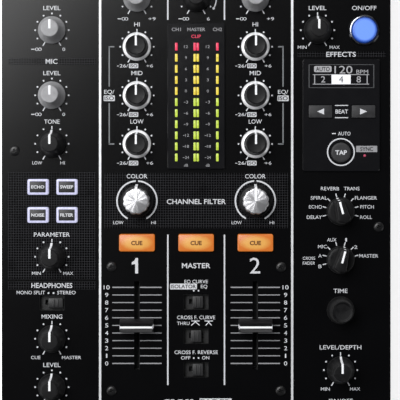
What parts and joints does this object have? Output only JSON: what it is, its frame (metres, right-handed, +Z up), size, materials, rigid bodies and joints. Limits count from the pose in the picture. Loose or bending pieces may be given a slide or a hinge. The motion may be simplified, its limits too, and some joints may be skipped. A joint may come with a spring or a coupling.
{
  "type": "dj mixer",
  "caption": "Compact two-channel mixing console: flat black control panel with turning knobs, sliding faders, lit buttons, level meter and display, on a low steel box with rubber feet.",
  "frame": {"origin": "on the resting surface under the middle of the mixer's outer box", "axes": "+X to the user's right, +Y away from the user towards the rear sockets, +Z up"},
  "size_m": [0.23, 0.32, 0.108],
  "materials": {
    "chassis_paint": "fine textured black powder coat on folded steel",
    "panel_paint": "satin black paint with a fine grain",
    "print_white": "screen-printed white ink",
    "trim_silver": "thin bright lines let into the panel",
    "window_plastic": "polished dark smoke acrylic",
    "black_knob": "soft matte black rubber",
    "grey_knob": "soft matte grey rubber",
    "silver_knob": "bright turned metal",
    "dark_button": "matte dark grey rubber",
    "pale_button": "lit translucent frame, lavender white",
    "cue_lens": "lit translucent orange",
    "blue_lens": "lit translucent blue",
    "led_red": "lit red lamp",
    "led_yellow": "lit yellow lamp",
    "led_green": "lit yellow-green lamp",
    "display_light": "lit segments of the display",
    "bezel_chrome": "polished bezel",
    "screw_black": "black-plated steel screws",
    "contact_metal": "plated contacts and sleeves",
    "socket_red": "moulded red insulator",
    "socket_white": "moulded white insulator",
    "black_plastic": "moulded black plastic",
    "foot_rubber": "black rubber",
    "board_green": "solder-masked circuit board with its components"
  },
  "bodies": {
    "chassis": {"base_pan": "chassis_paint", "top_panel": "panel_paint", "front_panel": "chassis_paint", "rear_panel": "chassis_paint", "control_board": "board_green", "input_output_board": "board_green", "power_supply_board": "board_green", "power_inlet": "black_plastic", "meter_window": "window_plastic", "effects_window": "window_plastic", "foot_front_left": "foot_rubber", "foot_front_right": "foot_rubber", "foot_rear_left": "foot_rubber", "foot_rear_right": "foot_rubber"},
    "aux_level_knob": {"aux_level_knob": "grey_knob"},
    "mic_level_knob": {"mic_level_knob": "grey_knob"},
    "mic_tone_knob": {"mic_tone_knob": "black_knob"},
    "effect_parameter_knob": {"effect_parameter_knob": "black_knob"},
    "headphone_mix_knob": {"headphone_mix_knob": "black_knob"},
    "headphone_level_knob": {"headphone_level_knob": "black_knob"},
    "master_level_knob": {"master_level_knob": "black_knob"},
    "booth_level_knob": {"booth_level_knob": "black_knob"},
    "send_level_knob": {"send_level_knob": "black_knob"},
    "level_depth_knob": {"level_depth_knob": "black_knob"},
    "channel_1_gain_knob": {"channel_1_gain_knob": "grey_knob"},
    "channel_1_high_knob": {"channel_1_high_knob": "silver_knob"},
    "channel_1_mid_knob": {"channel_1_mid_knob": "silver_knob"},
    "channel_1_low_knob": {"channel_1_low_knob": "silver_knob"},
    "channel_1_filter_knob": {"channel_1_filter_knob": "silver_knob"},
    "channel_2_gain_knob": {"channel_2_gain_knob": "grey_knob"},
    "channel_2_high_knob": {"channel_2_high_knob": "silver_knob"},
    "channel_2_mid_knob": {"channel_2_mid_knob": "silver_knob"},
    "channel_2_low_knob": {"channel_2_low_knob": "silver_knob"},
    "channel_2_filter_knob": {"channel_2_filter_knob": "silver_knob"},
    "effect_select_knob": {"effect_select_knob": "black_knob"},
    "channel_select_knob": {"channel_select_knob": "black_knob"},
    "time_knob": {"time_knob": "black_knob"},
    "echo_button": {"echo_button": "pale_button"},
    "sweep_button": {"sweep_button": "pale_button"},
    "noise_button": {"noise_button": "pale_button"},
    "filter_button": {"filter_button": "pale_button"},
    "channel_1_cue_button": {"channel_1_cue_button": "cue_lens"},
    "master_cue_button": {"master_cue_button": "cue_lens"},
    "channel_2_cue_button": {"channel_2_cue_button": "cue_lens"},
    "beat_down_button": {"beat_down_button": "dark_button"},
    "beat_up_button": {"beat_up_button": "dark_button"},
    "send_button": {"send_button": "blue_lens"},
    "tap_button": {"tap_button": "dark_button"},
    "effect_button": {"effect_button": "blue_lens"},
    "aux_source_switch": {"aux_source_switch": "black_plastic"},
    "headphone_mode_switch": {"headphone_mode_switch": "black_plastic"},
    "channel_1_input_switch": {"channel_1_input_switch": "black_plastic"},
    "channel_2_input_switch": {"channel_2_input_switch": "black_plastic"},
    "eq_curve_switch": {"eq_curve_switch": "black_plastic"},
    "crossfader_curve_switch": {"crossfader_curve_switch": "black_plastic"},
    "crossfader_reverse_switch": {"crossfader_reverse_switch": "black_plastic"},
    "channel_1_fader": {"channel_1_fader": "black_knob"},
    "channel_2_fader": {"channel_2_fader": "black_knob"},
    "crossfader": {"crossfader": "black_knob"},
    "power_rocker": {"power_rocker": "black_plastic"}
  },
  "joints": [
    {"name": "aux_level_turn", "type": "hinge", "parent": "chassis", "child": "aux_level_knob", "pos_m": [-0.0853, 0.0933, 0.0933], "axis": [0, 0, 1], "range_deg": [-150, 150]},
    {"name": "mic_level_turn", "type": "hinge", "parent": "chassis", "child": "mic_level_knob", "pos_m": [-0.0853, 0.0548, 0.0933], "axis": [0, 0, 1], "range_deg": [-150, 150]},
    {"name": "mic_tone_turn", "type": "hinge", "parent": "chassis", "child": "mic_tone_knob", "pos_m": [-0.0853, 0.0261, 0.0933], "axis": [0, 0, 1], "range_deg": [-150, 150]},
    {"name": "effect_parameter_turn", "type": "hinge", "parent": "chassis", "child": "effect_parameter_knob", "pos_m": [-0.0853, -0.0407, 0.0933], "axis": [0, 0, 1], "range_deg": [-150, 150]},
    {"name": "headphone_mix_turn", "type": "hinge", "parent": "chassis", "child": "headphone_mix_knob", "pos_m": [-0.0853, -0.0892, 0.0933], "axis": [0, 0, 1], "range_deg": [-150, 150]},
    {"name": "headphone_level_turn", "type": "hinge", "parent": "chassis", "child": "headphone_level_knob", "pos_m": [-0.0853, -0.1178, 0.0933], "axis": [0, 0, 1], "range_deg": [-150, 150]},
    {"name": "master_level_turn", "type": "hinge", "parent": "chassis", "child": "master_level_knob", "pos_m": [0, 0.1122, 0.0933], "axis": [0, 0, 1], "range_deg": [-150, 150]},
    {"name": "booth_level_turn", "type": "hinge", "parent": "chassis", "child": "booth_level_knob", "pos_m": [0, 0.139, 0.0933], "axis": [0, 0, 1], "range_deg": [-150, 150]},
    {"name": "send_level_turn", "type": "hinge", "parent": "chassis", "child": "send_level_knob", "pos_m": [0.0718, 0.0933, 0.0933], "axis": [0, 0, 1], "range_deg": [-150, 150]},
    {"name": "level_depth_turn", "type": "hinge", "parent": "chassis", "child": "level_depth_knob", "pos_m": [0.0854, -0.1077, 0.0933], "axis": [0, 0, 1], "range_deg": [-150, 150]},
    {"name": "channel_1_gain_turn", "type": "hinge", "parent": "chassis", "child": "channel_1_gain_knob", "pos_m": [-0.035, 0.1122, 0.0933], "axis": [0, 0, 1], "range_deg": [-150, 150]},
    {"name": "channel_1_high_turn", "type": "hinge", "parent": "chassis", "child": "channel_1_high_knob", "pos_m": [-0.035, 0.0835, 0.0933], "axis": [0, 0, 1], "range_deg": [-150, 150]},
    {"name": "channel_1_mid_turn", "type": "hinge", "parent": "chassis", "child": "channel_1_mid_knob", "pos_m": [-0.035, 0.0547, 0.0933], "axis": [0, 0, 1], "range_deg": [-150, 150]},
    {"name": "channel_1_low_turn", "type": "hinge", "parent": "chassis", "child": "channel_1_low_knob", "pos_m": [-0.035, 0.026, 0.0933], "axis": [0, 0, 1], "range_deg": [-150, 150]},
    {"name": "channel_1_filter_turn", "type": "hinge", "parent": "chassis", "child": "channel_1_filter_knob", "pos_m": [-0.035, -0.0077, 0.0933], "axis": [0, 0, 1], "range_deg": [-150, 150]},
    {"name": "channel_2_gain_turn", "type": "hinge", "parent": "chassis", "child": "channel_2_gain_knob", "pos_m": [0.035, 0.1122, 0.0933], "axis": [0, 0, 1], "range_deg": [-150, 150]},
    {"name": "channel_2_high_turn", "type": "hinge", "parent": "chassis", "child": "channel_2_high_knob", "pos_m": [0.035, 0.0835, 0.0933], "axis": [0, 0, 1], "range_deg": [-150, 150]},
    {"name": "channel_2_mid_turn", "type": "hinge", "parent": "chassis", "child": "channel_2_mid_knob", "pos_m": [0.035, 0.0547, 0.0933], "axis": [0, 0, 1], "range_deg": [-150, 150]},
    {"name": "channel_2_low_turn", "type": "hinge", "parent": "chassis", "child": "channel_2_low_knob", "pos_m": [0.035, 0.026, 0.0933], "axis": [0, 0, 1], "range_deg": [-150, 150]},
    {"name": "channel_2_filter_turn", "type": "hinge", "parent": "chassis", "child": "channel_2_filter_knob", "pos_m": [0.035, -0.0077, 0.0933], "axis": [0, 0, 1], "range_deg": [-150, 150]},
    {"name": "effect_select_turn", "type": "hinge", "parent": "chassis", "child": "effect_select_knob", "pos_m": [0.0854, -0.0139, 0.0933], "axis": [0, 0, 1], "range_deg": [-120, 90]},
    {"name": "channel_select_turn", "type": "hinge", "parent": "chassis", "child": "channel_select_knob", "pos_m": [0.0854, -0.0426, 0.0933], "axis": [0, 0, 1], "range_deg": [-60, 120]},
    {"name": "time_turn", "type": "hinge", "parent": "chassis", "child": "time_knob", "pos_m": [0.0854, -0.0723, 0.0933], "axis": [0, 0, 1], "continuous": true},
    {"name": "echo_press", "type": "slide", "parent": "chassis", "child": "echo_button", "axis": [0, 0, -1], "range_m": [0, 0.0008], "stiffness_N_per_m": 400, "springref_m": -0.0005},
    {"name": "sweep_press", "type": "slide", "parent": "chassis", "child": "sweep_button", "axis": [0, 0, -1], "range_m": [0, 0.0008], "stiffness_N_per_m": 400, "springref_m": -0.0005},
    {"name": "noise_press", "type": "slide", "parent": "chassis", "child": "noise_button", "axis": [0, 0, -1], "range_m": [0, 0.0008], "stiffness_N_per_m": 400, "springref_m": -0.0005},
    {"name": "filter_press", "type": "slide", "parent": "chassis", "child": "filter_button", "axis": [0, 0, -1], "range_m": [0, 0.0008], "stiffness_N_per_m": 400, "springref_m": -0.0005},
    {"name": "channel_1_cue_press", "type": "slide", "parent": "chassis", "child": "channel_1_cue_button", "axis": [0, 0, -1], "range_m": [0, 0.0008], "stiffness_N_per_m": 400, "springref_m": -0.0005},
    {"name": "master_cue_press", "type": "slide", "parent": "chassis", "child": "master_cue_button", "axis": [0, 0, -1], "range_m": [0, 0.0008], "stiffness_N_per_m": 400, "springref_m": -0.0005},
    {"name": "channel_2_cue_press", "type": "slide", "parent": "chassis", "child": "channel_2_cue_button", "axis": [0, 0, -1], "range_m": [0, 0.0008], "stiffness_N_per_m": 400, "springref_m": -0.0005},
    {"name": "beat_down_press", "type": "slide", "parent": "chassis", "child": "beat_down_button", "axis": [0, 0, -1], "range_m": [0, 0.0008], "stiffness_N_per_m": 400, "springref_m": -0.0005},
    {"name": "beat_up_press", "type": "slide", "parent": "chassis", "child": "beat_up_button", "axis": [0, 0, -1], "range_m": [0, 0.0008], "stiffness_N_per_m": 400, "springref_m": -0.0005},
    {"name": "send_press", "type": "slide", "parent": "chassis", "child": "send_button", "axis": [0, 0, -1], "range_m": [0, 0.0008], "stiffness_N_per_m": 400, "springref_m": -0.0005},
    {"name": "tap_press", "type": "slide", "parent": "chassis", "child": "tap_button", "axis": [0, 0, -1], "range_m": [0, 0.0008], "stiffness_N_per_m": 400, "springref_m": -0.0005},
    {"name": "effect_press", "type": "slide", "parent": "chassis", "child": "effect_button", "axis": [0, 0, -1], "range_m": [0, 0.0008], "stiffness_N_per_m": 400, "springref_m": -0.0005},
    {"name": "aux_source_slide", "type": "slide", "parent": "chassis", "child": "aux_source_switch", "axis": [1, 0, 0], "range_m": [-0.002, 0]},
    {"name": "headphone_mode_slide", "type": "slide", "parent": "chassis", "child": "headphone_mode_switch", "axis": [1, 0, 0], "range_m": [-0.0044, 0]},
    {"name": "channel_1_input_slide", "type": "slide", "parent": "chassis", "child": "channel_1_input_switch", "axis": [1, 0, 0], "range_m": [-0.002, 0.002]},
    {"name": "channel_2_input_slide", "type": "slide", "parent": "chassis", "child": "channel_2_input_switch", "axis": [1, 0, 0], "range_m": [-0.002, 0.002]},
    {"name": "eq_curve_slide", "type": "slide", "parent": "chassis", "child": "eq_curve_switch", "axis": [1, 0, 0], "range_m": [-0.002, 0]},
    {"name": "crossfader_curve_slide", "type": "slide", "parent": "chassis", "child": "crossfader_curve_switch", "axis": [1, 0, 0], "range_m": [-0.002, 0.002]},
    {"name": "crossfader_reverse_slide", "type": "slide", "parent": "chassis", "child": "crossfader_reverse_switch", "axis": [1, 0, 0], "range_m": [-0.002, 0]},
    {"name": "channel_1_fader_slide", "type": "slide", "parent": "chassis", "child": "channel_1_fader", "axis": [0, 1, 0], "range_m": [-0.0225, 0.0225]},
    {"name": "channel_2_fader_slide", "type": "slide", "parent": "chassis", "child": "channel_2_fader", "axis": [0, 1, 0], "range_m": [-0.0225, 0.0225]},
    {"name": "crossfader_slide", "type": "slide", "parent": "chassis", "child": "crossfader", "axis": [1, 0, 0], "range_m": [-0.0225, 0.0225]},
    {"name": "power_rocker_tip", "type": "hinge", "parent": "chassis", "child": "power_rocker", "pos_m": [0.096, 0.147, 0.044], "axis": [1, 0, 0], "range_deg": [-16, 0]}
  ]
}
